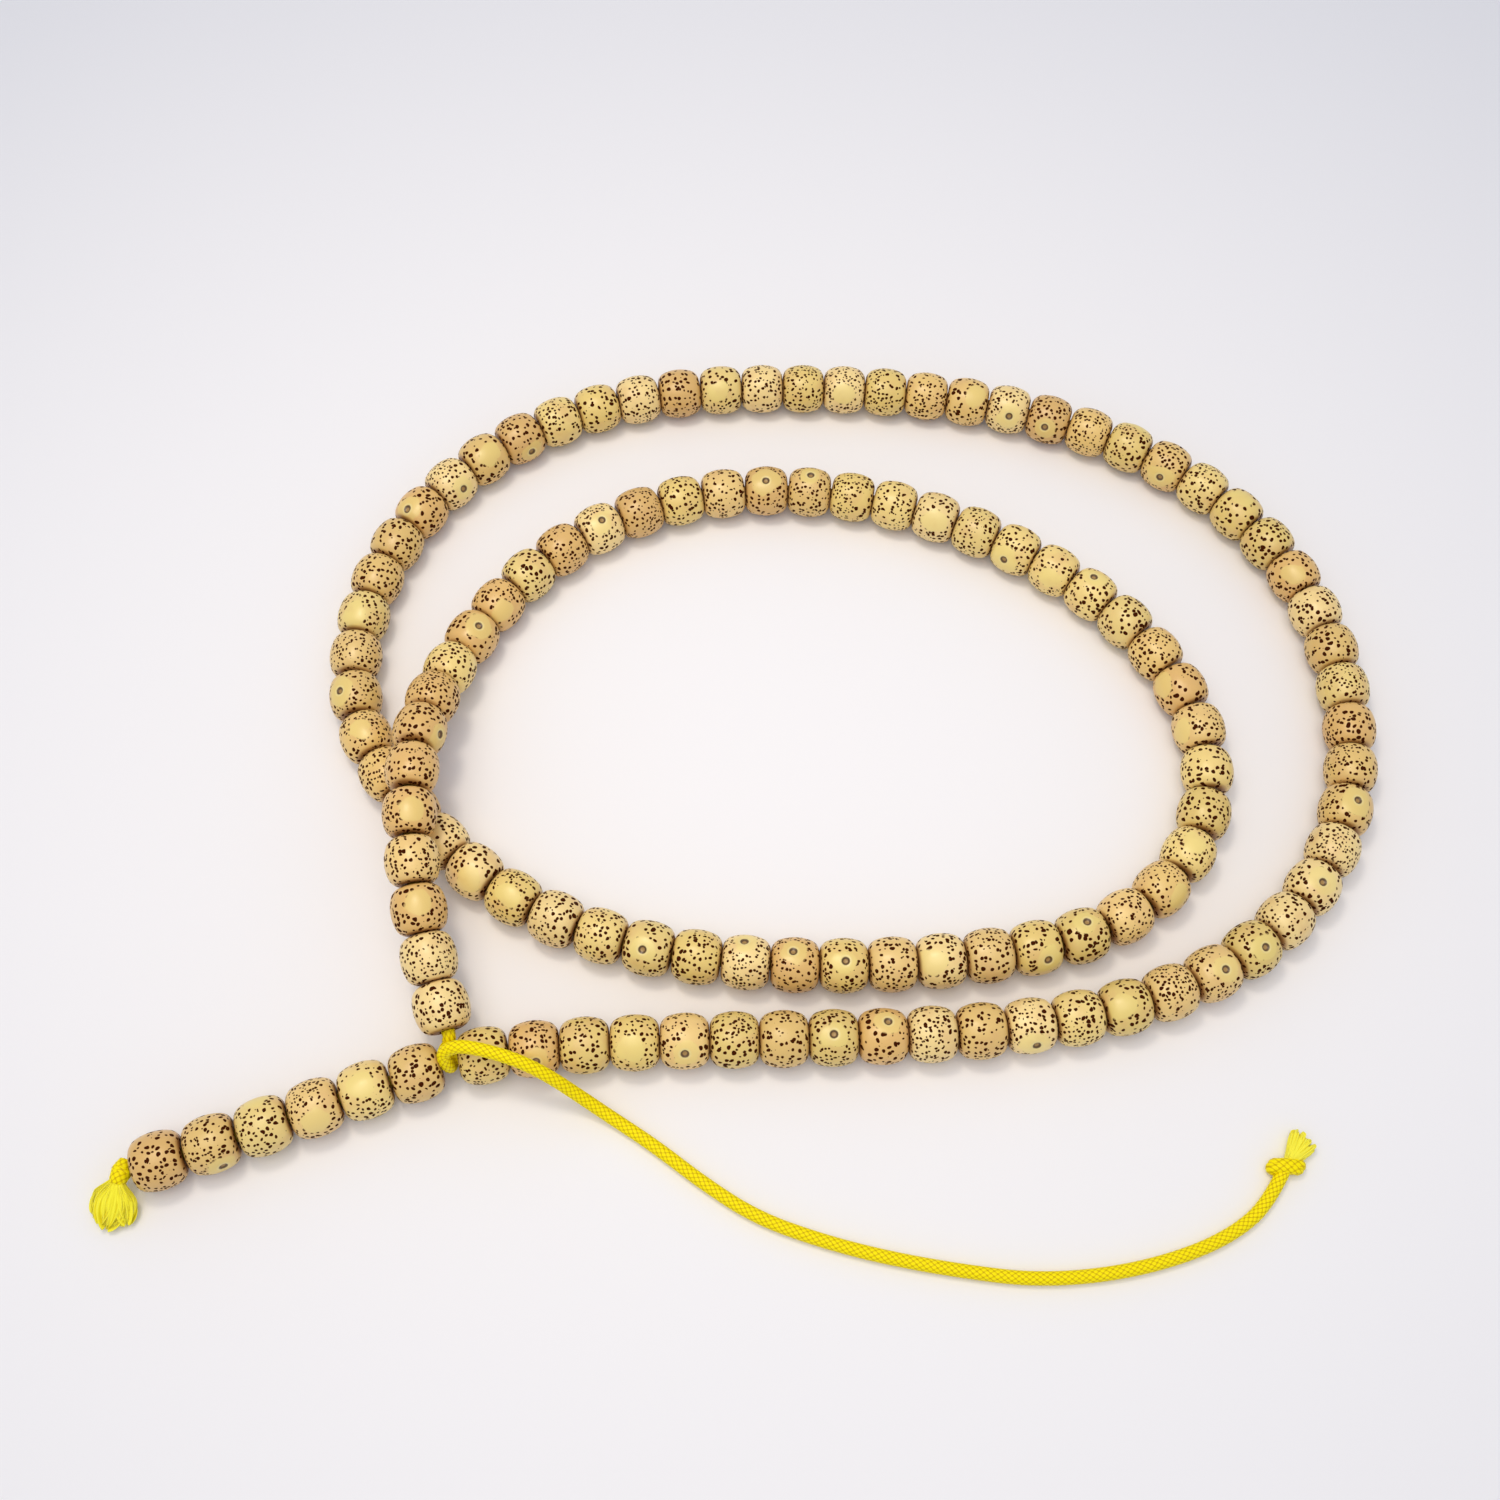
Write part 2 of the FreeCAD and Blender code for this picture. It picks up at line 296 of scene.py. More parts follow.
class SeedTone(Enum):
    """Base colours of the turned and waxed seeds, from pale straw to brown tan."""

    STRAW = "#F3D48E"
    BUTTER = "#EDCF7F"
    OLIVE = "#E5C673"
    SAND = "#EBC67C"
    BISCUIT = "#E5BF72"
    TAN = "#DFB36A"


SEED_ATTRIBUTES = (
    "seed_place", "fibre_way", "seed_tone", "moon_mm", "face_mm", "end_share",
)


@dataclass(frozen=True)
class WaxedSeed:
    """Rattan palm seed, turned on a lathe, drilled, tumbled and waxed.

    The ivory-like flesh is satin with a soft highlight. The seed's dark fibres run out
    from its middle, so they show as dots on the crown and as dashes on the shoulders.
    """

    name: str = "waxed_rattan_seed"
    fibre: str = "#401600"
    bare_face: str = "#F0DC80"
    warm_cloud: str = "#DBAC70"
    # Painted shade where a bead's end meets the next bead.
    painted_end_shade: str = "#9A642C"
    pit_rim: str = "#4C3010"
    pit_lip: str = "#EBD690"
    pit_floor: str = "#A98346"
    speck_cell_mm: float = 0.66
    speck_radius_mm: float = 0.235
    speck_edge_mm: float = 0.012
    speck_sizes: Spot = (0.4, 0.82)
    cell_wander_mm: float = 0.6
    cell_randomness: float = 0.72
    cloud_mm: float = 3.0
    cloud_share: float = 0.45
    bare_ragged_mm: float = 2.2
    bare_edge_mm: Spot = (3.25, 3.6)
    bare_share: float = 0.4
    end_shade_from: Spot = (0.9, 1.03)
    polish_scale: float = 3.0
    polish_depth: float = 0.00004
    roughness: float = 0.34
    gloss: float = 0.55

    def build(self) -> bpy.types.Material:
        """Make the material from the bead's own place, tone and moon attributes.

        Returns:
            The material.
        """
        material, tree = new_material(self.name)
        add = partial(add_node, tree)
        place, fibre_way, tone, pit, face, end = (
            add("ShaderNodeAttribute", {"attribute_name": name}).outputs
            for name in SEED_ATTRIBUTES
        )

        # Fibres: a dot in each cell of a pattern that runs out from the seed's middle.
        drift = {"Vector": fibre_way["Vector"], "Scale": 0.9, "Detail": 1.0}
        wander = add(NOISE, {}, drift).outputs["Color"]
        wandering = {0: wander, 1: [self.cell_wander_mm] * 3}
        wandering[2] = fibre_way["Vector"]
        shift = add("ShaderNodeVectorMath", TIMES_PLUS, wandering).outputs[0]
        cell = {"Vector": shift, "Scale": 1.0 / self.speck_cell_mm}
        cell["Randomness"] = self.cell_randomness
        cells = add("ShaderNodeTexVoronoi", {}, cell).outputs
        pick = add("ShaderNodeSeparateColor", {}, {0: cells["Color"]}).outputs[0]
        spread = add(MATH, TIMES, {0: cells["Distance"], 1: self.speck_cell_mm}).outputs[0]
        grow, least = self.speck_sizes
        size = add(MATH, TIMES_PLUS, {0: pick, 1: grow, 2: least}).outputs[0]
        reach = add(MATH, TIMES, {0: size, 1: self.speck_radius_mm}).outputs[0]
        inside = add(MATH, LESS, {0: reach, 1: spread}).outputs[0]

        # A face with no fibres, with a ragged edge from the clouds in the flesh.
        clouds = {"Vector": place["Vector"], "Scale": 1.0 / self.cloud_mm, "Detail": 2.0}
        cloud = add(NOISE, {}, clouds).outputs[0]
        raggedness = {0: cloud, 1: self.bare_ragged_mm, 2: face["Fac"]}
        ragged = add(MATH, TIMES_PLUS, raggedness).outputs[0]

        # Each share is a smooth fade: its value, its range and what it runs between.
        edge, depth = self.speck_edge_mm, pit["Fac"]
        fades = (
            (inside, -edge, edge, 0.0, 1.0),
            (ragged, *self.bare_edge_mm, 0.0, 1.0),
            (cloud, 0.45, 0.75, 0.0, self.cloud_share),
            (ragged, *self.bare_edge_mm, self.bare_share, 0.0),
            # Painted shade at the bead's ends, where beads meet.
            (end["Fac"], *self.end_shade_from, 0.0, 1.0),
            (depth, 0.8, 1.0, 0.6, 0.0),
            (depth, 0.46, 0.6, 1.0, 0.0),
            (depth, 0.26, 0.42, 0.0, 0.9),
            (depth, 0.56, 0.68, 1.0, 0.0),
        )
        speck, away, clouding, baring, end_shading, lip, pit_floor, rim_in, rim_out = (
            add(FADE, SMOOTH, dict(enumerate(fade))).outputs[0] for fade in fades
        )
        fibres = add(MATH, TIMES, {0: speck, 1: away}).outputs[0]
        rim = add(MATH, TIMES, {0: rim_in, 1: rim_out}).outputs[0]

        # The seed's tone, clouded, paler on the bare face, darkened at the ends by painted
        # shade where beads meet, specked, and the moon's pale lip, darker floor and burnt
        # rim.
        coloured = tone["Color"]
        layers = (
            (clouding, self.warm_cloud),
            (baring, self.bare_face),
            (end_shading, self.painted_end_shade),
            (fibres, self.fibre),
            (lip, self.pit_lip),
            (pit_floor, self.pit_floor),
            (rim, self.pit_rim),
        )
        for share, colour in layers:
            laid = {0: share, 6: coloured, 7: linear(colour)}
            coloured = add("ShaderNodeMix", COLOURS, laid).outputs[2]

        polish = {"Vector": place["Vector"], "Scale": self.polish_scale, "Detail": 2.0}
        fine = add(NOISE, {}, polish).outputs[0]
        height = add(MATH, TIMES_PLUS, {0: fibres, 1: -0.6, 2: fine}).outputs[0]
        bump = {"Strength": 0.35, "Distance": self.polish_depth, "Height": height}
        relief = add("ShaderNodeBump", {}, bump).outputs[0]
        rough = add(MATH, TIMES_PLUS, {0: fibres, 1: 0.3, 2: self.roughness}).outputs[0]
        gloss = add(MATH, TIMES_PLUS, {0: fibres, 1: -0.52, 2: self.gloss}).outputs[0]
        dressed = {"Base Color": coloured, "Roughness": rough}
        dressed |= {"Specular IOR Level": gloss, "Normal": relief}
        shader = add("ShaderNodeBsdfPrincipled", {}, dressed).outputs[0]
        add("ShaderNodeOutputMaterial", {}, {"Surface": shader})
        return material


@dataclass(frozen=True)
class BraidedYarn:
    """Polyester filament yarn, dyed and braided tight into a round cord.

    Each crossing of the braid is a small bright diamond, and the darker valley round it is
    painted shade. The filaments in it give a soft silky sheen.
    """

    name: str
    crest: str
    valley: str
    # Painted shade: the cord darkens to this where it shows in the slits between beads.
    painted_shade: str = "#5E4408"
    crest_from: float = 0.75
    filament_mm: float = 0.12
    filament_depth: float = 0.00004
    roughness: float = 0.5
    gloss: float = 0.12
    sheen: float = 0.02

    def build(self) -> bpy.types.Material:
        """Make the material from the braid's lift, the yarn's run and the share not painted
        with shade.

        Returns:
            The material.
        """
        material, tree = new_material(self.name)
        add = partial(add_node, tree)
        lift, run, unshaded = (
            add("ShaderNodeAttribute", {"attribute_name": name}).outputs
            for name in ("braid_lift", "yarn_run", "clean_share")
        )
        # Painted shade: the colour darkens from the crest's to the valley's as the braid's
        # lift falls.
        shade = add(FADE, SMOOTH, {0: lift["Fac"], 1: 0.0, 2: self.crest_from}).outputs[0]
        yarns = {0: shade, 6: linear(self.valley), 7: linear(self.crest)}
        colour = add("ShaderNodeMix", COLOURS, yarns).outputs[2]
        # Painted shade: the unshaded share keeps the yarn's colour, the rest takes the
        # painted shade.
        shading_mix = {0: unshaded["Fac"], 6: linear(self.painted_shade), 7: colour}
        shaded_colour = add("ShaderNodeMix", COLOURS, shading_mix).outputs[2]
        fine = {"Vector": run["Vector"], "Scale": 1.0 / self.filament_mm, "Detail": 1.0}
        streak = add(NOISE, {}, fine).outputs["Fac"]
        bump = {"Strength": 0.4, "Distance": self.filament_depth, "Height": streak}
        relief = add("ShaderNodeBump", {}, bump).outputs[0]
        dressed = {"Base Color": shaded_colour, "Roughness": self.roughness, "Normal": relief}
        dressed |= {"Specular IOR Level": self.gloss}
        dressed |= {"Sheen Weight": self.sheen, "Sheen Roughness": 0.4}
        shader = add("ShaderNodeBsdfPrincipled", {}, dressed).outputs[0]
        add("ShaderNodeOutputMaterial", {}, {"Surface": shader})
        return material


@dataclass(frozen=True)
class Finishes:
    """The finishes, each made once and shared."""

    seed: bpy.types.Material
    braid: bpy.types.Material
    fray: bpy.types.Material
    tip: bpy.types.Material

    @staticmethod
    def make() -> "Finishes":
        """Build every finish."""
        seed = WaxedSeed()
        braid = BraidedYarn("braided_polyester_yellow", "#FFEA00", "#C49C00")
        fray = BraidedYarn("frayed_polyester_yarn", "#FFF43A", "#E0CC08", sheen=0.2)
        tip = BraidedYarn("heat_sealed_polyester_end", "#FCF248", "#E2CE14", sheen=0.2)
        return Finishes(seed.build(), braid.build(), fray.build(), tip.build())


# --------------------------------------------------------------------------- the plan


@dataclass
class StrandPlan:
    """Where the cord runs through the beads, in millimetres, with z above the floor.

    The strand turns by a listed angle at each bead, and between two listed beads the
    turn changes evenly. The inner round climbs over the outer one near its end.
    """

    hitch: Array
    bead_diameter: float = 8.0
    bead_length: float = 6.75
    face_radius: float = 1.5
    crown_radius: float = 6.5
    bead_gap: float = 0.15
    hitch_gap: float = 2.5
    gap_heading: float = 22.0
    count: int = 108
    spare_flex: float = 6.0
    turns: tuple[tuple[int, float], ...] = (
        (1, -8.4), (3, -1.6), (6, -0.4), (10, 1.0), (14, 4.3), (18, 8.5), (21, 9.3),
        (24, 6.2), (28, 8.6), (32, 6.1), (36, 3.7), (41, 1.7), (45, 6.3), (48, 7.3),
        (51, 8.5), (54, 8.0), (56, 14.1), (58, 4.7), (61, 7.6), (64, 5.3), (68, 2.2),
        (72, 3.0), (74, 11.7), (76, 13.9), (78, 14.9), (81, 10.2), (85, 4.7), (90, 5.8),
        (95, 8.1), (100, 7.7), (104, 4.9), (108, 2.6),
    )
    spare_turns: tuple[float, ...] = (0.1, 1.6, 0.3, 0.0, -1.5, -1.1)
    climb_start: float = 98.0
    climb_top: float = 103.0
    descent_end: float = 109.5
    crossing_rise: float = 8.2
    exit_rise: float = 1.75
    exit_along: float = 1.0
    end_bead_clearance: float = 0.5

    def shoulder_radius(self, face_radius: float) -> float:
        """The arc that touches both an end face of a radius and the crown's arc."""
        half = self.bead_length / 2
        reach = face_radius - (self.bead_diameter / 2 - self.crown_radius)
        square = self.crown_radius**2 - half**2 - reach**2
        return square / (2 * self.crown_radius - self.bead_length)

    def standoff(self, turn: Array) -> Array:
        """How far a bead's end stands from a junction that turns by an angle.

        Half the gap, plus the face's radius times the tangent of half the turn, plus
        the shoulder's radius times the secant less one.
        """
        lean = np.abs(turn) / 2
        shoulder = self.shoulder_radius(self.face_radius) * (1 / np.cos(lean) - 1)
        return self.bead_gap / 2 + self.face_radius * np.tan(lean) + shoulder

    def rises(self) -> Array:
        """Height of each junction above a resting bead's axis.

        A half cosine up to the crossing's top, and a part of one down to the hitch.
        """
        junction = np.arange(self.count + 1.0)
        climb = self.climb_top - self.climb_start
        up = np.clip((junction - self.climb_start) / climb, 0, 1)
        down = (junction - self.climb_top) / (self.descent_end - self.climb_top)
        share = (1 + np.cos(np.pi * down)) / 2
        last = share[-1]
        foot = (self.exit_rise - self.crossing_rise * last) / (1 - last)
        climbing = self.crossing_rise * (1 - np.cos(np.pi * up)) / 2
        falling = foot + (self.crossing_rise - foot) * share
        return np.where(junction <= self.climb_top, climbing, falling)

    def exit_point(self) -> Array:
        """Where the cord leaves the last counting bead, from the hitch's middle."""
        rises = self.rises()
        radius = self.bead_diameter / 2
        pitch = self.bead_length + self.bead_gap
        beside = self.hitch_gap / 2 + pitch / 2 - self.exit_along
        spread = self.bead_diameter + self.end_bead_clearance
        centre_rise = (rises[-2] + rises[-1]) / 2
        across = math.sqrt(spread**2 - beside**2 - centre_rise**2) - self.bead_length / 2
        level = heading(self.gap_heading) * self.exit_along
        side = heading(self.gap_heading + 90) * across
        return level + side + np.array([0, 0, radius + self.exit_rise])

    def strung(self, start: Array, ahead: Array, off: Array) -> tuple[Array, Array]:
        """String beads from a point: each step is a bead's length and its two standoffs.

        Args:
            start: the first junction.
            ahead: each bead's direction.
            off: the standoff at each junction.

        Returns:
            The junctions and the beads' middles.
        """
        steps = self.bead_length + off[1:] + off[:-1]
        walked = start + np.cumsum(ahead * steps[:, None], axis=0)
        junctions = np.concatenate([start[None], walked])
        to_middle = (off[:-1] + self.bead_length / 2)[:, None]
        return junctions, junctions[:-1] + ahead * to_middle

    def loop(self) -> tuple[Array, Array, Array]:
        """Junctions, bead middles and directions of the counting beads.

        What the last junction misses its place by is shared out evenly.

        Returns:
            Junctions, middles and unit directions, one row each.
        """
        numbers = np.array([t[0] for t in self.turns], float)
        angles = np.array([t[1] for t in self.turns])
        turn = np.interp(np.arange(1, self.count + 1), numbers, angles)
        way = heading(self.gap_heading + np.cumsum(turn))
        climbs = np.diff(self.rises())
        steps = np.full(self.count, self.bead_length + self.bead_gap)
        # The standoffs need the directions and these need the steps, so it runs twice.
        for _ in range(2):
            level = np.sqrt(steps**2 - climbs**2)
            ahead = (way * level[:, None] + np.outer(climbs, [0, 0, 1])) / steps[:, None]
            cosines = np.clip((ahead[1:] * ahead[:-1]).sum(axis=1), -1, 1)
            bends = np.concatenate([[0.0], np.arccos(cosines), [0.0]])
            off = self.standoff(bends)
            steps = self.bead_length + off[1:] + off[:-1]
        start = heading(self.gap_heading) * self.hitch_gap / 2 + UP * self.bead_diameter / 2
        junctions, middles = self.strung(start, ahead, off)
        miss = (self.exit_point() - junctions[-1]) / self.count
        junctions = junctions + np.arange(self.count + 1)[:, None] * miss
        middles = middles + (np.arange(self.count)[:, None] + 0.5) * miss
        along = unit(np.diff(junctions, axis=0))
        return junctions + self.hitch, middles + self.hitch, along

    def spare(self) -> tuple[Array, Array, Array]:
        """Junctions, bead middles and directions of the spare run, as for the loop."""
        way = heading(self.gap_heading + 180 + np.cumsum(self.spare_turns))
        reach = np.radians(np.abs(self.spare_turns[1:]) + self.spare_flex)
        off = self.standoff(np.concatenate([[0.0], reach, [0.0]]))
        start = UP * self.bead_diameter / 2 - heading(self.gap_heading) * self.hitch_gap / 2
        junctions, middles = self.strung(start, way, off)
        return junctions + self.hitch, middles + self.hitch, way


# --------------------------------------------------------------------------- beads


@dataclass
class SeedBead:
    """One turned seed: a drilled barrel with a crowned side and rounded shoulders.

    The surface is the outline's points turned about the bead's axis, drawn in a little
    by slow waves, with the seed's moon pit pressed in on one side.
    """

    plan: StrandPlan
    face_radius: float = 1.85
    snug: float = 0.75
    bore_radius: float = 1.2
    bore_chamfer: float = 0.2
    moon_radius: float = 0.56
    moon_depth: float = 0.3
    bare_chance: float = 0.12
    steps_pitted: tuple[int, int] = (30, 96)
    steps_plain: tuple[int, int] = (14, 44)
    ripple: float = 0.012
    size_spread: float = 0.08
    dimple_reach: float = 2.2
    dimple_depth: float = 0.07
    fibre_reach: float = 3.5
    far_off: float = 5.0

    def outline(self, fine: int) -> Array:
        """Points of the closed outline, as axial place and radius.

        Crown arc about a centre below the axis, shoulder arcs that touch it and the
        end faces, flat faces, chamfers and the bore's wall.

        Args:
            fine: how many steps the crown has.

        Returns:
            An array of points by two.
        """
        plan = self.plan
        half, face = (plan.bead_length + self.snug * plan.bead_gap) / 2, self.face_radius
        centre = plan.bead_diameter / 2 - plan.crown_radius
        shoulder = plan.shoulder_radius(face)
        meet = math.atan2(half - shoulder, face - centre)
        crown = np.linspace(-meet, meet, fine)
        side = np.stack([np.sin(crown), np.cos(crown)], axis=1) * plan.crown_radius
        side[:, 1] += centre
        round_off = np.linspace(meet, math.pi / 2, fine // 3 + 2)[1:]
        arc = np.stack([np.sin(round_off), np.cos(round_off)], axis=1) * shoulder
        arc += [half - shoulder, face]
        lip = np.array([[half, self.bore_radius + self.bore_chamfer + 0.03]])
        inner = np.array([[half - self.bore_chamfer, self.bore_radius]])
        right = np.concatenate([arc, lip, inner])
        left = right[::-1] * [-1, 1]
        return np.concatenate([side, right, inner * [0, 1], left])

    def surface(
        self, middle: Array, way: Array, rng: Rng, moon: Spot | None, bare: Spot | None
    ) -> Surface:
        """Work out one bead in its place.

        Args:
            middle: the bead's middle.
            way: the direction of its bore.
            rng: the strand's random source.
            moon: the pit's angle about the bore, in degrees from straight up, and its
                place along the bore, in millimetres, or None to hide it underneath.
            bare: the same for a face with no fibres, or None to leave it to chance.

        Returns:
            The bead's surface with its attributes.
        """
        fine, around = self.steps_pitted if moon else self.steps_plain
        draws = rng.random(16)
        shown = moon or (150.0 + 60.0 * draws[0], 2.4 * (draws[1] - 0.5))
        if bare is None:
            by_chance = moon is None and draws[12] < self.bare_chance
            anywhere = (140.0 * (draws[13] - 0.5), 3.0 * (draws[14] - 0.5))
            bare = anywhere if by_chance else shown
        outline = self.outline(fine)
        x, r = outline[:, 0][:, None], outline[:, 1][:, None]
        turn = np.linspace(0, TURN, around, endpoint=False)[None, :]
        x, r, turn = np.broadcast_arrays(x, r, turn)

        outer = smooth_step(r, self.face_radius + 0.1, self.face_radius + 1.2)
        skewed = 3 * turn + x + 6.3 * draws[3]
        waves = np.sin(2 * turn + 6.3 * draws[2]) + 0.6 * np.sin(skewed)
        r = r - outer * (self.ripple * (1.6 - waves) + self.size_spread * draws[4] ** 2)
        in_bore = np.where(r < self.bore_radius + 0.3, self.far_off, 0.0)

        def away_from(spot: Spot) -> Array:
            """Distance over the side from a spot, with the bore's wall kept far off."""
            gap = (turn - math.radians(spot[0]) + math.pi) % TURN - math.pi
            return np.hypot(gap * np.maximum(r, 1.0), x - spot[1]) + in_bore

        distance = away_from(shown)
        bare_distance = np.minimum(distance + 1.0 * draws[15], away_from(bare) + 0.5)
        press = 1 - smooth_step(distance, self.moon_radius - 0.26, self.moon_radius + 0.1)
        dimple = 1 - smooth_step(distance, 0.0, self.dimple_reach)
        r = r - press * self.moon_depth - self.dimple_depth * dimple

        across = unit(np.cross(UP, way))
        over = np.cross(way, across)
        radial = np.cos(turn)[..., None] * over + np.sin(turn)[..., None] * across
        points = middle + x[..., None] * way + r[..., None] * radial

        local = np.stack([x, r * np.cos(turn), r * np.sin(turn)], axis=-1)
        offset = 40.0 * draws[5:8]
        grain = local + 1.8 * (draws[8:11] - 0.5)
        fibre_way = (self.fibre_reach + 0.6 * draws[15]) * unit(grain)
        tones = list(SeedTone)
        base = np.array(linear(tones[int(draws[11] * len(tones))].value))
        base[:3] *= 0.94 + 0.12 * draws[4]
        marks = {
            "seed_place": local + offset,
            "fibre_way": fibre_way + offset,
            "seed_tone": np.broadcast_to(base, x.shape + (4,)),
            "moon_mm": distance,
            "face_mm": bare_distance,
            "end_share": np.abs(x) / (self.plan.bead_length / 2) + in_bore,
        }
        return Surface.grid(points, True, True, **marks)


@dataclass(frozen=True)
class SeedMarks:
    """Where the seeds that lie pit up or bare face up have those marks.

    Each is an angle about the bore, in degrees from straight up, and a place along it,
    in millimetres.
    """

    pits: Marks = field(
        default_factory=lambda: {
            2: (-45, 0.3), 5: (-45, 0.0), 8: (-10, -0.2), 9: (15, 0.5), 12: (-65, 0.0),
            16: (-15, 0.4), 17: (-20, 0.2), 19: (-10, -0.4), 21: (-10, 0.2), 31: (70, -0.4),
            34: (60, 0.2), 35: (55, -0.4), 47: (80, -0.1), 49: (60, 0.1), 50: (-10, 2.3),
            55: (-30, 0.4), 64: (-25, -0.4), 66: (30, -0.4), 67: (10, -0.4), 68: (-10, 0.0),
            72: (-50, 0.6), 73: (10, 0.3), 83: (-10, 0.7), 85: (70, 0.6), 90: (-10, 0.0),
            91: (10, 0.2), 95: (15, -0.1), 99: (20, -0.2), 102: (70, 1.5),
        }
    )
    bare: Marks = field(
        default_factory=lambda: {
            4: (-30, -0.7), 14: (-10, -1.5), 27: (30, -1.2), 39: (50, 0.2), 42: (40, 0.5),
            48: (30, -0.4), 53: (-10, 1.4), 56: (-5, 0.3), 58: (-10, 1.9), 60: (-40, 1.0),
            61: (-20, 0.4), 70: (-20, -1.7), 84: (55, -0.5), 87: (45, -0.3), 98: (45, 1.1),
            104: (10, 0.7), 106: (5, -0.5),
        }
    )
    spare_pits: Marks = field(default_factory=lambda: {5: (80, -1.0)})
    spare_bare: Marks = field(default_factory=lambda: {2: (5, 0.2), 3: (45, -0.1)})


@dataclass
class BeadStrand:
    """All the beads: the fixed ones in short arcs, the loose ones singly."""

    plan: StrandPlan
    finishes: Finishes
    loose: frozenset[int]
    seed: int = 4
    arc_beads: int = 12
    outer_last: int = 60
    marks: SeedMarks = field(default_factory=lambda: SeedMarks())

    def build(self) -> None:
        """Make every bead and settle it on its body."""
        rng = np.random.default_rng(self.seed)
        bead = SeedBead(self.plan)
        _, middles, ways = self.plan.loop()
        arcs: dict[int, list[Surface]] = {}
        for number in range(1, self.plan.count + 1):
            place = number - 1
            pit, bare = self.marks.pits.get(number), self.marks.bare.get(number)
            surface = bead.surface(middles[place], ways[place], rng, pit, bare)
            if number in self.loose:
                name = f"counting_bead_{number:03d}"
                surface.piece(f"seed_{name}", self.finishes.seed, name, "seed_bead", name)
            else:
                arcs.setdefault(place // self.arc_beads, []).append(surface)
        for arc, surfaces in arcs.items():
            first, last = arc * self.arc_beads + 1, (arc + 1) * self.arc_beads
            name = f"fixed_beads_{first:03d}_to_{last:03d}"
            side = "outer_beads" if last <= self.outer_last else "inner_beads"
            joined = Surface.joined(surfaces)
            joined.piece(name, self.finishes.seed, "strand", "seed_bead", side)
        _, middles, ways = self.plan.spare()
        for number, (middle, way) in enumerate(zip(middles, ways), start=1):
            pit, bare = self.marks.spare_pits.get(number), self.marks.spare_bare.get(number)
            surface = bead.surface(middle, way, rng, pit, bare)
            name = f"spare_bead_{number}"
            surface.piece(f"seed_{name}", self.finishes.seed, name, "seed_bead", name)


# --------------------------------------------------------------------------- cord


def smooth_line(name: str, route: Array, step: float) -> Array:
    """Points along the smooth NURBS curve that has a route as its control points.

    Args:
        name: the curve's name.
        route: control points in millimetres.
        step: the spacing of the points, in millimetres.

    Returns:
        Evenly spaced points along the curve, in millimetres.
    """
    curve = bpy.data.curves.new(name, "CURVE")
    curve.dimensions = "3D"
    curve.resolution_u = 24
    spline = curve.splines.new("NURBS")
    spline.points.add(len(route) - 1)
    weighted = np.concatenate([route * MM, np.ones((len(route), 1))], axis=1)
    spline.points.foreach_set("co", weighted.astype(np.float32).ravel())
    spline.order_u = 3
    spline.use_endpoint_u = True
    line = add_object(name, curve)
    bpy.context.view_layer.update()
    evaluated = line.evaluated_get(bpy.context.evaluated_depsgraph_get())
    mesh = bpy.data.meshes.new_from_object(evaluated)
    flat = np.empty(len(mesh.vertices) * 3, np.float32)
    mesh.vertices.foreach_get("co", flat)
    bpy.data.meshes.remove(mesh)
    bpy.data.objects.remove(line)
    return evenly_spaced(flat.reshape(-1, 3).astype(float) / MM, step)


def running_length(points: Array) -> Array:
    """How far along a line each of its points is."""
    steps = np.linalg.norm(np.diff(points, axis=0), axis=1)
    return np.concatenate([[0.0], np.cumsum(steps)])


def evenly_spaced(points: Array, step: float) -> Array:
    """Points at even spacing along a line, read by its running length."""
    runs = np.linalg.norm(np.diff(points, axis=0), axis=1)
    points = points[np.concatenate([[True], runs > 1e-7])]
    along = running_length(points)
    wanted = np.linspace(0, along[-1], max(int(along[-1] / step), 4) + 1)
    return np.stack([np.interp(wanted, along, points[:, k]) for k in range(3)], axis=1)


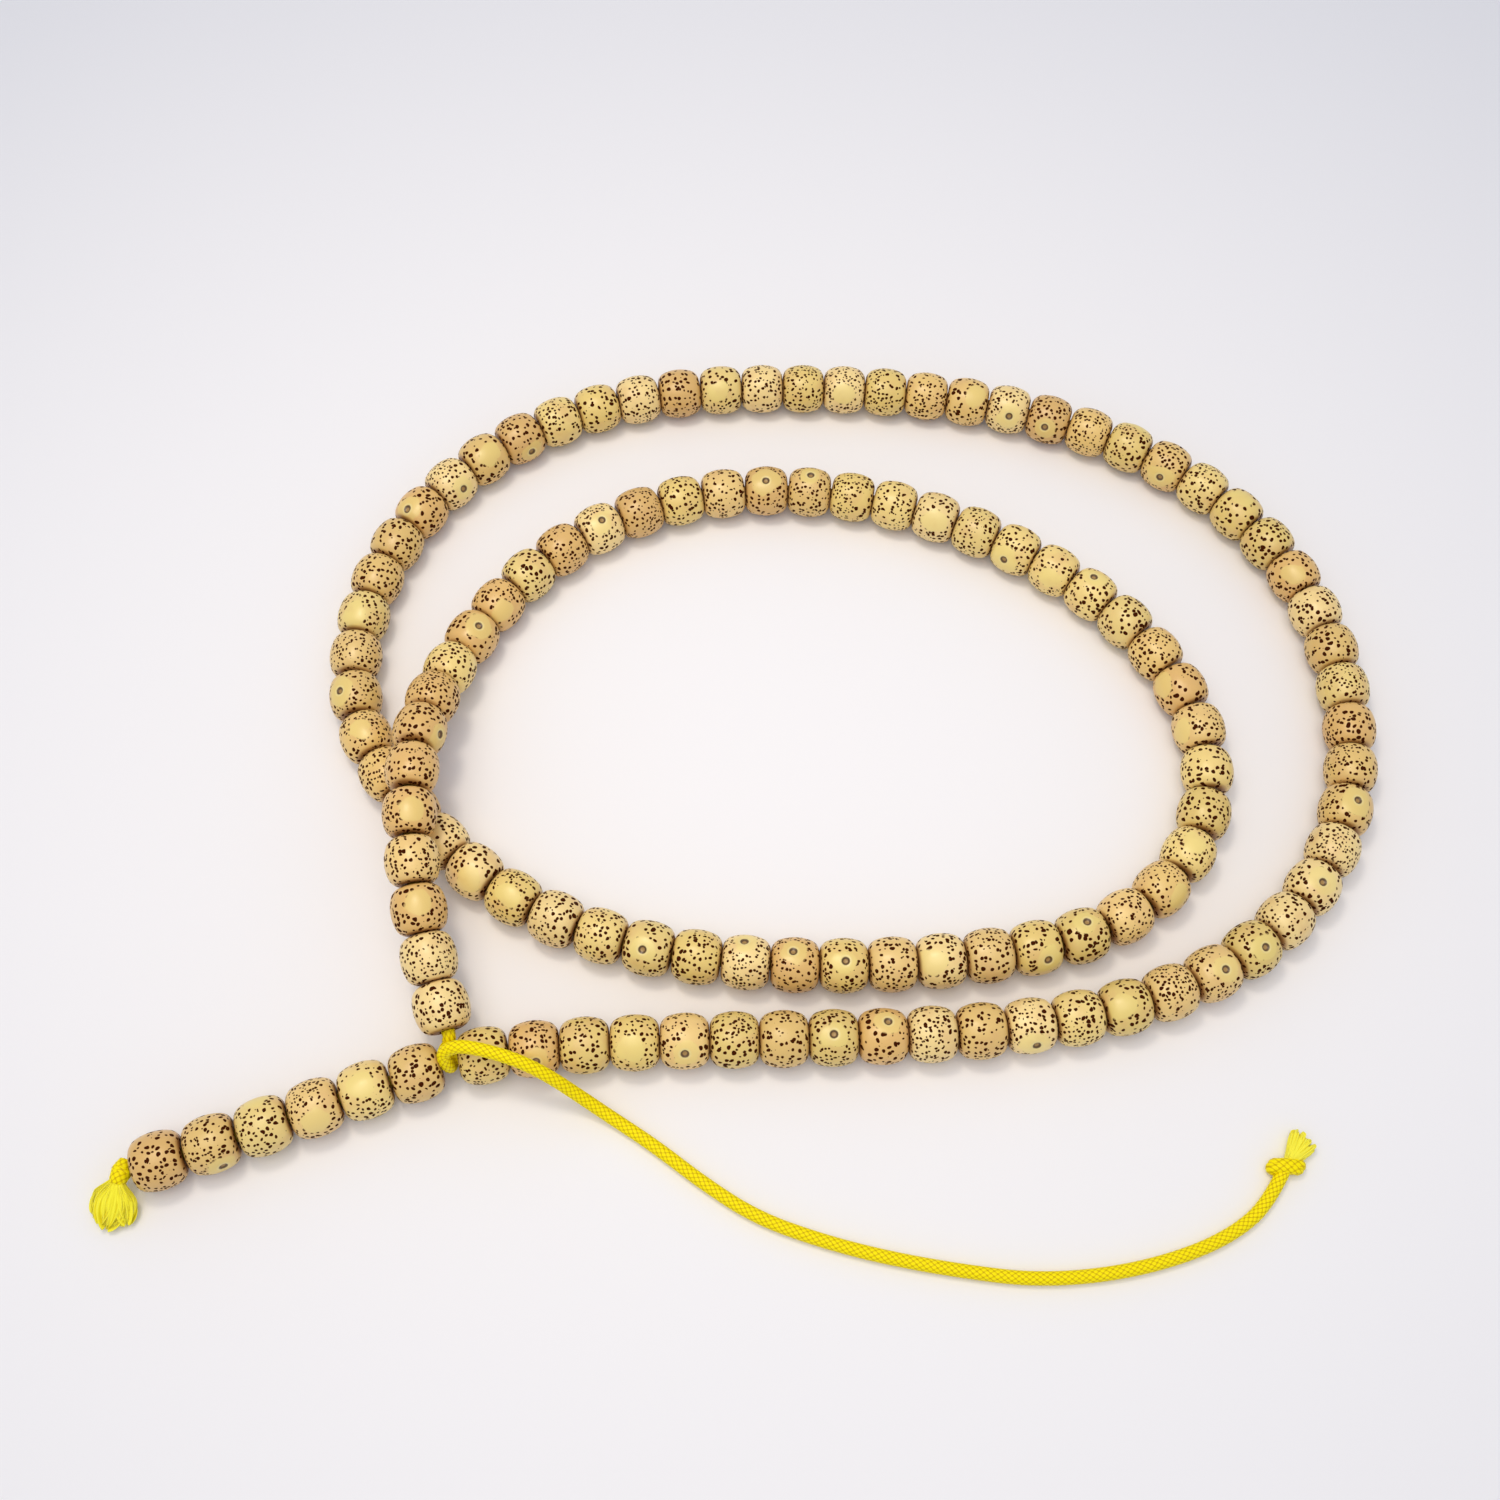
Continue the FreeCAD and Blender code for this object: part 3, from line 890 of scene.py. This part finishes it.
@dataclass
class BraidedTube:
    """A round braid along a line.

    With a and b the two families of yarn, a = n u + s / p and b = n u - s / p, where u
    is the share of a turn, s the length along and p the diamond's length. On the cells
    whose whole numbers add to an even number family a lies on top, and its height is
    the sine of its own fraction times a power of the other's; on the rest b does.
    """

    radius: float
    diamonds: int = 16
    diamond_mm: float = 0.94
    lift_mm: float = 0.07
    around: int = 64
    step_mm: float = 0.1
    # The share of the yarn's own colour; the rest is painted shade.
    unshaded: float = 1.0

    def rings(self, line: Array, side: Array, taper: Array | None = None) -> Surface:
        """Carry the braid along a line.

        Args:
            line: evenly spaced points, in millimetres.
            side: a direction that the line never runs along, to count turns from.
            taper: a factor on the radius at each point.

        Returns:
            The tube, closed at both ends.
        """
        ahead = unit(np.gradient(line, axis=0))
        across = unit(np.cross(ahead, side))
        over = np.cross(across, ahead)
        share = np.linspace(0, 1, self.around, endpoint=False)[None, :]
        s = running_length(line)[:, None]
        a = self.diamonds / 2 * share + s / self.diamond_mm
        b = self.diamonds / 2 * share - s / self.diamond_mm
        fa, fb = a - np.floor(a), b - np.floor(b)
        a_on_top = (np.floor(a) + np.floor(b)) % 2 < 1
        ridge_a = np.sin(np.pi * fa) ** 0.7 * np.sin(np.pi * fb) ** 0.4
        ridge_b = np.sin(np.pi * fb) ** 0.7 * np.sin(np.pi * fa) ** 0.4
        lift = np.where(a_on_top, ridge_a, ridge_b) * (self.lift_mm > 0)
        radius = self.radius - self.lift_mm * (1 - lift)
        if taper is not None:
            radius = radius * taper[:, None]
        angle = 2 * np.pi * share[..., None]
        radial = np.cos(angle) * over[:, None, :] + np.sin(angle) * across[:, None, :]
        points = line[:, None, :] + radius[..., None] * radial
        run = np.where(a_on_top, b, a)
        lean = np.where(a_on_top, a, b)
        yarn = np.stack([lean * 1.2, run * 0.15, np.zeros_like(run)], axis=-1)
        unshaded = np.full(points.shape[:2] + (1,), self.unshaded)
        lifts = np.broadcast_to(lift[..., None], unshaded.shape)
        return Surface.tube(points, braid_lift=lifts, yarn_run=yarn, clean_share=unshaded)


@dataclass
class TailCord:
    """The free tail, from the top of the hitch, over the first beads and along the floor.

    Points are from the hitch's middle, in metres. Its length is that of the whole tail,
    which is seen from end to end.
    """

    diameter: float = 0.0019
    length: float = 0.129
    route_m: tuple[Point, ...] = (
        (0.0005, 0.0005, 0.0088), (0.0014, 0.0007, 0.0095), (0.0036, 0.0005, 0.0100),
        (0.0067, 0.0000, 0.0099), (0.0105, -0.0009, 0.0093), (0.0143, -0.0021, 0.0073),
        (0.0182, -0.0035, 0.0036), (0.0227, -0.0056, 0.0012), (0.0289, -0.0091, 0.0010),
        (0.0357, -0.0137, 0.0010), (0.0431, -0.0179, 0.0010), (0.0515, -0.0204, 0.0010),
        (0.0604, -0.0222, 0.0010), (0.0703, -0.0234, 0.0010), (0.0811, -0.0241, 0.0010),
        (0.0925, -0.0225, 0.0010), (0.1029, -0.0191, 0.0010), (0.1099, -0.0150, 0.0010),
        (0.1135, -0.0108, 0.0010), (0.1152, -0.0076, 0.0012),
    )

    def route(self, hitch: Array) -> Array:
        """The route in millimetres, in the strand's place."""
        return np.array(self.route_m) / MM + hitch

    def build(
        self, hitch: Array, finishes: Finishes, on_it: list[bpy.types.Object]
    ) -> None:
        """Args:
            hitch: the hitch's middle on the floor.
            finishes: the shared finishes.
            on_it: the knot and tip at its end. Not used.
        """
        route = self.route(hitch)
        points = smooth_line("tail_line", route, BraidedTube.step_mm)
        tube = BraidedTube(self.diameter / MM / 2)
        braid = tube.rings(points, UP)
        dressed = (finishes.braid, "strand", "braided_cord", "tail_cord")
        piece = braid.piece("tail_braid", *dressed)


@dataclass
class HeldCord:
    """The cord inside the beads, its turn round the hitch and the spare run's stretches."""

    plan: StrandPlan
    finishes: Finishes
    radius: float = 0.95
    hitch_route: tuple[Point, ...] = (
        (-0.24, 3.05, 5.45), (-0.6, 2.95, 3.9), (-0.4, 1.8, 2.7), (0.1, 0.35, 2.7),
        (0.25, -0.6, 4.0), (0.0, -0.8, 5.5), (-0.45, -0.35, 6.9), (-0.35, 0.3, 8.1),
        (0.5, 0.5, 8.8),
    )
    bridge_pull: Point = (-0.6, 2.4, 1.4)
    into_last: float = 2.0
    into_next: float = 1.5
    bend_room: float = 0.1
    stretch_slack: float = 0.05
    stretch_overlap: float = 0.4
    stretch_step: float = 0.12

    def build(self) -> None:
        """Make the string, the hitch's turn and the six stretches."""
        junctions, _, ways = self.plan.loop()
        spare, _, spare_ways = self.plan.spare()
        plain = BraidedTube(self.radius, around=16, step_mm=0.8, lift_mm=0.0, unshaded=0.15)
        # The string is hidden in the beads but for slits, so it has no braid there; its
        # colour is mostly painted shade, for the shade in the slits.
        inside = smooth_line("string_line", junctions, plain.step_mm)
        through = plain.rings(inside, UP)
        start = np.stack([junctions[-1] - self.into_last * ways[-1], junctions[-1]])
        hook_route = np.concatenate([start, np.array(self.hitch_route) + self.plan.hitch])
        braid = BraidedTube(self.radius)
        hook_line = smooth_line("hitch_line", hook_route, braid.step_mm)
        hook = braid.rings(hook_line, heading(self.plan.gap_heading))
        pulled = (spare[0] + junctions[0]) / 2 + np.array(self.bridge_pull)
        ends = [spare[0] + self.into_next * spare_ways[0], spare[0], pulled]
        ends += [junctions[0], junctions[0] + self.into_next * ways[0]]
        bridge_line = smooth_line("bridge_line", np.stack(ends), braid.step_mm)
        bridge = braid.rings(bridge_line, UP)
        held = (self.finishes.braid, "strand", "braided_cord", "string")
        through.piece("string_through_beads", *held)
        Surface.joined([hook, bridge]).piece("hitch_braid", *held)
        # The spare run's stretches are mostly painted shade too, for the gaps between its
        # beads.
        short = BraidedTube(self.radius - self.stretch_slack, around=32, unshaded=0.15)
        for number, way in enumerate(spare_ways, start=1):
            first = spare[number - 1] + way * (self.radius + self.bend_room)
            beyond = self.stretch_overlap if number < len(spare_ways) else 1.0
            last = spare[number] + way * beyond
            run = evenly_spaced(np.stack([first, last]), self.stretch_step)
            stretch = short.rings(run, UP)
            name = f"spare_string_{number}"
            dressed = (self.finishes.braid, f"spare_link_{number}", "braided_cord", name)
            stretch.piece(f"braid_{name}", *dressed)


# --------------------------------------------------------------------------- ends


@dataclass
class PulledKnot:
    """An overhand knot pulled down hard: turns of braid wound across the cord.

    The turns follow an oval helix, across times the cosine and up times the sine of the
    turn, and creep along the cord as they wind.
    """

    centre: Array
    along: Array
    across_mm: float
    height_mm: float
    length_mm: float
    turns: float = 1.6
    braid_radius: float = 0.66
    tilt: float = 0.5
    core_radius: float = 1.0
    helix_steps: int = 240
    braid_step: float = 0.09
    core_step: float = 0.12

    def surface(self) -> Surface:
        """Work out the knot.

        Returns:
            The wound braid and the core inside it.
        """
        along = unit(self.along)
        across = unit(np.cross(UP, along))
        wide = self.across_mm / 2 - self.braid_radius
        tall = self.height_mm / 2 - self.braid_radius
        creep = self.length_mm - 2 * self.braid_radius
        t = np.linspace(0, 1, self.helix_steps)
        turn = TURN * self.turns * t - math.pi / 2
        sideways = wide * np.cos(turn)
        line = (
            self.centre
            + sideways[:, None] * across
            + (tall * np.sin(turn))[:, None] * UP
            + (creep * (t - 0.5) + self.tilt * sideways)[:, None] * along
        )
        line = evenly_spaced(line, self.braid_step)
        here = np.arange(len(line), dtype=float)
        taper = 0.55 + 0.45 * smooth_step(np.minimum(here, here[::-1]), 0, 10)
        wound = BraidedTube(self.braid_radius, 12, around=48).rings(line, along, taper)
        reach = self.length_mm / 2 - 0.15
        through = np.stack([self.centre - reach * along, self.centre + reach * along])
        core_line = evenly_spaced(through, self.core_step)
        share = np.linspace(-1, 1, len(core_line))
        plump = np.sqrt(np.clip(1 - 0.55 * share**2, 0.05, 1))
        core = BraidedTube(self.core_radius, 16, around=64).rings(core_line, UP, plump)
        return Surface.joined([wound, core])


@dataclass
class SplayedYarn:
    """Yarn ends splayed flat: a few fluted locks with loose filaments lying over them.

    A lock's half width follows its outline along its length, and its thickness is
    flattened towards the rim, with flutes that run out from the neck.
    """

    neck: Array
    reach: Array
    width_mm: float
    thick_mm: float
    neck_radius: float
    filaments: int
    seed: int
    fullness: float = 0.6
    opens_from: float = -0.25
    opens_as: float = 1.6
    lock_share: float = 0.7
    locks: tuple[Spot, ...] = ((-27, 0.86), (1, 1.0), (29, 0.9), (-9, 0.94))

    def opening(self, share: Array) -> Array:
        """How far the fan has opened at a share of its length, 0 to 1."""
        return smooth_step(share, self.opens_from, self.fullness) ** self.opens_as

    def placed(
        self, along: Array, across: Array, sideways: Array, reached: Array, height: Array
    ) -> Array:
        """Points from the floor below the neck, by how far across, along and up."""
        return (
            self.neck * [1, 1, 0]
            + sideways[..., None] * across
            + reached[..., None] * along
            + height[..., None] * UP
        )

    def petal(self, rng: Rng, swing: float, size: float) -> Surface:
        """One lock of the fan, as rings about the line from neck to rim.

        At share t of the length the half width grows from the neck's radius to half the
        width by a sine and closes at the rim by a root, and the ring is flattened as it
        widens. Flutes are cosines of the turn that grow with t.

        Args:
            rng: the fan's random source.
            swing: the lock's heading from the fan's own, in degrees.
            size: its length and width as a share of the fan's.

        Returns:
            The lock.
        """
        length = float(np.linalg.norm(self.reach)) * size
        ahead, side = math.cos(math.radians(swing)), math.sin(math.radians(swing))
        along = unit(self.reach * [1, 1, 0])
        along = ahead * along + side * np.cross(UP, along)
        across = np.cross(UP, along)
        t = np.linspace(0, 1, 40)[:, None]
        turn = np.linspace(0, TURN, 160, endpoint=False)[None, :]
        opened = self.opening(t)
        rim = np.clip((t - self.fullness) / (1.01 - self.fullness), 0, 1)
        closed = np.sqrt(1 - rim**2)
        wide = self.lock_share * size * self.width_mm / 2
        half = (self.neck_radius + (wide - self.neck_radius) * opened) * closed
        tall = (self.neck_radius + (self.thick_mm / 2 - self.neck_radius) * opened) * closed
        phases = 6.28 * rng.random(4)
        twisted = 26 * turn + phases[1] + 3 * t
        flutes = 0.5 * np.cos(15 * turn + phases[0]) + 0.4 * np.cos(twisted)
        ripple = 1 + 0.14 * flutes * opened
        ragged = 1 + 0.08 * np.cos(5 * turn + phases[2])
        ragged = ragged + 0.07 * np.cos(13 * turn + phases[3])
        sideways = half * (1 + 0.05 * flutes * t) * np.cos(turn)
        height = tall * np.sin(turn) * ripple
        reached = 0.93 * length * t * (1 + (ragged - 1) * t)
        base = self.neck[2] * (1 - t) + (self.thick_mm / 2) * t
        height = np.maximum(height + base, 0.04)
        points = self.placed(along, across, sideways, reached, height)
        # Painted shade: the lock is darker in the flutes' grooves and lighter on their
        # ridges.
        lift = np.broadcast_to(0.55 + 0.45 * flutes * opened, points.shape[:2])[..., None]
        run = np.stack([turn * 3.0 + 0 * t, t * 0.6 + 0 * turn, 0 * t * turn], axis=-1)
        unshaded = np.ones(lift.shape)
        return Surface.tube(points, braid_lift=lift, yarn_run=run, clean_share=unshaded)

    def strands(self, rng: Rng) -> Surface:
        """Loose filaments: thin square tubes along slightly bowed lines over the fan."""
        length = float(np.linalg.norm(self.reach))
        along = self.reach / length * [1, 1, 0]
        across = unit(np.cross(UP, along))
        n, rows, sides = self.filaments, 9, 4
        t = np.linspace(0.05, 1, rows)[None, :]
        spread = rng.uniform(-1, 1, (n, 1))
        bow = rng.normal(0, 0.25, (n, 1))
        reach_out = rng.uniform(0.72, 1.0, (n, 1)) * np.sqrt(1 - 0.45 * spread**2)
        opened = self.opening(t)
        wide = self.width_mm / 2 - 0.05
        narrow = self.neck_radius * 0.7
        sideways = spread * (narrow + (wide - narrow) * opened)
        sideways = sideways + bow * np.sin(np.pi * t)
        sideways = np.clip(sideways, -wide, wide)
        crown = np.sqrt(np.clip(1 - (sideways / (wide + 0.2)) ** 2, 0.05, 1))
        top = self.neck[2] * (1 - t) + self.thick_mm / 2 * t
        rise = (self.neck_radius * (1 - opened) + self.thick_mm / 2 * opened) * crown
        height = top + rise * rng.uniform(0.55, 1.0, (n, 1)) * (1 - 0.75 * t**3)
        height = np.clip(height, 0.12, None)
        line = self.placed(along, across, sideways, length * t * reach_out, height)
        thick = rng.uniform(0.05, 0.11, (n, 1, 1, 1)) * (1 - 0.5 * t[..., None, None] ** 2)
        angle = np.linspace(0, TURN, sides, endpoint=False)[None, None, :, None]
        ring = np.cos(angle) * across + np.sin(angle) * UP
        points = line[:, :, None, :] + thick * ring
        lift = rng.uniform(0.3, 1.0, (n, 1, 1)) * np.ones((1, rows, sides))
        run = np.stack([lift * 9.0, lift * 0 + 0.1, lift * 0], axis=-1)
        unshaded = np.ones(lift.shape)
        parts = [
            Surface.tube(p, braid_lift=v[..., None], yarn_run=w, clean_share=c[..., None])
            for p, v, w, c in zip(points, lift, run, unshaded)
        ]
        return Surface.joined(parts)

    def surface(self) -> Surface:
        """The locks with the filaments over them."""
        rng = np.random.default_rng(self.seed)
        locks = [self.petal(rng, swing, size) for swing, size in self.locks]
        return Surface.joined([*locks, self.strands(rng)])


@dataclass
class CordEnds:
    """The stopper knot and frayed start, and the tail's knot and sealed tip."""

    plan: StrandPlan
    finishes: Finishes
    tuft_reach: Point = (-1.0, -4.3, 0.0)
    tip_reach: Point = (3.2, 4.4, 0.0)
    stopper_step: float = 1.45

    def build_start(self) -> None:
        """Make the stopper knot and the frayed fan beyond it."""
        spare, _, ways = self.plan.spare()
        middle = spare[-1] + ways[-1] * self.stopper_step
        reach = np.array(self.tuft_reach)
        knot = PulledKnot(
            middle, reach, across_mm=2.9, height_mm=2.8, length_mm=3.7,
            turns=1.2, braid_radius=0.7, core_radius=1.35,
        )
        dressed = (self.finishes.braid, "spare_link_6", "braided_cord", "start_knot")
        knot.surface().piece("stopper_knot_braid", *dressed)
        out = unit(reach)
        neck = middle + out * 1.2
        fan = SplayedYarn(
            neck, out * 5.8, width_mm=5.8, thick_mm=2.1,
            neck_radius=0.75, filaments=240, seed=11,
        )
        dressed = (self.finishes.fray, "spare_link_6", "frayed_cord", "start_tuft")
        fan.surface().piece("frayed_fan", *dressed)

    def build_tail(self, tail: TailCord) -> list[bpy.types.Object]:
        """Make the tail's knot and its sealed, frayed tip.

        Args:
            tail: the tail they end.

        Returns:
            The knot and the tip.
        """
        route = tail.route(self.plan.hitch)
        centre = route[-1] + unit(route[-1] - route[-2]) * 0.65
        centre[2] = 1.3
        reach = np.array(self.tip_reach)
        knot = PulledKnot(
            centre, reach, across_mm=4.6, height_mm=2.6, length_mm=2.9,
            turns=2.0, braid_radius=0.86, tilt=-0.65, core_radius=0.9,
        )
        dressed = (self.finishes.braid, "strand", "braided_cord", "tail_knot")
        knot_piece = knot.surface().piece("tail_knot_braid", *dressed)
        neck = centre + unit(reach) * 0.9
        fan = SplayedYarn(
            neck, unit(reach) * 4.6, width_mm=3.1, thick_mm=2.2,
            neck_radius=0.8, filaments=60, seed=23, fullness=0.9,
            lock_share=0.74, locks=((-15, 0.95), (12, 1.0), (0, 0.9)),
        )
        dressed = (self.finishes.tip, "strand", "fused_tip", "tail_tip")
        return [knot_piece, fan.surface().piece("sealed_tip", *dressed)]


# --------------------------------------------------------------------------- studio


@dataclass
class Studio:
    """A pale floor, a soft window-like light and the camera."""

    camera_mm: Point = (-5.727, -118.554, 237.634)
    tilt_degrees: float = 62.874
    roll_degrees: float = -3.322
    lens_mm: float = 41.69
    floor_reach: float = 2.0
    card: str = "#F1EEEF"
    surround: str = "#E2ECFE"
    surround_strength: float = 0.66
    lamp_tint: str = "#FFF4E0"
    lamps: tuple[tuple[str, Point, float, float], ...] = (
        ("softbox", (-0.07, -0.08, 0.5), 0.5, 0.33),
        ("lamp", (-0.10, 0.05, 0.45), 0.09, 0.085),
    )

    def camera(self) -> None:
        """Aim the camera down at the strand, rolled a little."""
        tilt, roll = math.radians(self.tilt_degrees), math.radians(self.roll_degrees)
        right = Vector((1, 0, 0))
        up = Vector((0, math.sin(tilt), math.cos(tilt)))
        back = Vector((0, -math.cos(tilt), math.sin(tilt)))
        x = right * math.cos(roll) - up * math.sin(roll)
        y = right * math.sin(roll) + up * math.cos(roll)
        data = bpy.data.cameras.new("camera")
        data.lens = self.lens_mm
        data.sensor_width = 36.0
        data.clip_start = 0.005
        camera = add_object("camera", data)
        turned = Matrix((x, y, back)).transposed().to_4x4()
        camera.matrix_world = Matrix.Translation(Vector(self.camera_mm) * MM) @ turned
        bpy.context.scene.camera = camera

    def floor(self) -> None:
        """A wide sheet of matt white card."""
        reach = self.floor_reach
        square = ((-1, -1), (1, -1), (1, 1), (-1, 1))
        corners = [(x * reach, y * reach, 0.0) for x, y in square]
        mesh = bpy.data.meshes.new("floor")
        mesh.from_pydata(corners, [], [(0, 1, 2, 3)])
        material, tree = new_material("white_card")
        card = {"Base Color": linear(self.card), "Roughness": 0.9}
        shader = add_node(tree, "ShaderNodeBsdfPrincipled", {}, card).outputs[0]
        add_node(tree, "ShaderNodeOutputMaterial", {}, {"Surface": shader})
        mesh.materials.append(material)
        add_object("floor", mesh)

    def lights(self) -> None:
        """A large soft light above and behind, and an even surround."""
        scene = bpy.context.scene
        world = bpy.data.worlds.new("surround")
        world.use_nodes = True
        background = world.node_tree.nodes["Background"]
        background.inputs["Color"].default_value = linear(self.surround)
        background.inputs["Strength"].default_value = self.surround_strength
        scene.world = world
        for name, place, size, power in self.lamps:
            data = bpy.data.lights.new(name, "AREA")
            data.shape = "DISK"
            data.size = size
            data.energy = power
            data.spread = math.radians(80)
            data.color = linear(self.lamp_tint)[:3]
            lamp = add_object(name, data)
            lamp.location = place
            lamp.rotation_euler = (-Vector(place)).to_track_quat("-Z", "Y").to_euler()
        scene.view_settings.view_transform = "Standard"

    def build(self) -> None:
        """Set up the camera, the floor and the lights."""
        self.camera()
        self.floor()
        self.lights()


# --------------------------------------------------------------------------- making


def hitch_from(joints: Sequence[dict[str, Any]]) -> Array:
    """The hitch's middle on the floor, from the first spare joint.

    Args:
        joints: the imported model's joints.

    Returns:
        The point, in millimetres.
    """
    pivot = next(j for j in joints if j["name"] == "bend_spare_1")
    half_gap = StrandPlan.hitch_gap / 2
    point = np.array(pivot["pos_m"]) / MM + heading(StrandPlan.gap_heading) * half_gap
    return point * [1, 1, 0]


def check_plan(plan: StrandPlan, joints: Sequence[dict[str, Any]]) -> frozenset[int]:
    """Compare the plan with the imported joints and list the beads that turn.

    Args:
        plan: the strand's plan.
        joints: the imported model's joints.

    Returns:
        Numbers of the counting beads that have a joint.
    """
    _, middles, _ = plan.loop()
    start = "spin_counting_bead_"
    spins = [j for j in joints if j["name"].startswith(start)]
    numbers = np.array([int(j["name"][len(start):]) for j in spins])
    places = np.array([j["pos_m"] for j in spins]) / MM
    worst = float(np.abs(places - middles[numbers - 1]).max())
    log.info("the plan lies within %.4f mm of the packed joints", worst)
    return frozenset(numbers.tolist())


def main() -> None:
    """Build the scene in order: frame, camera, cords, beads and ends."""
    logging.basicConfig(level=logging.INFO, format="%(name)s: %(message)s")
    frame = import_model()
    joints = frame["joints"]
    plan = StrandPlan(hitch=hitch_from(joints))
    loose = check_plan(plan, joints)
    Studio().build()
    finishes = Finishes.make()
    ends = CordEnds(plan, finishes)
    tail = TailCord()
    on_tail = ends.build_tail(tail)
    tail.build(plan.hitch, finishes, on_tail)
    HeldCord(plan, finishes).build()
    ends.build_start()
    BeadStrand(plan, finishes, loose).build()


if __name__ == "__main__":
    main()
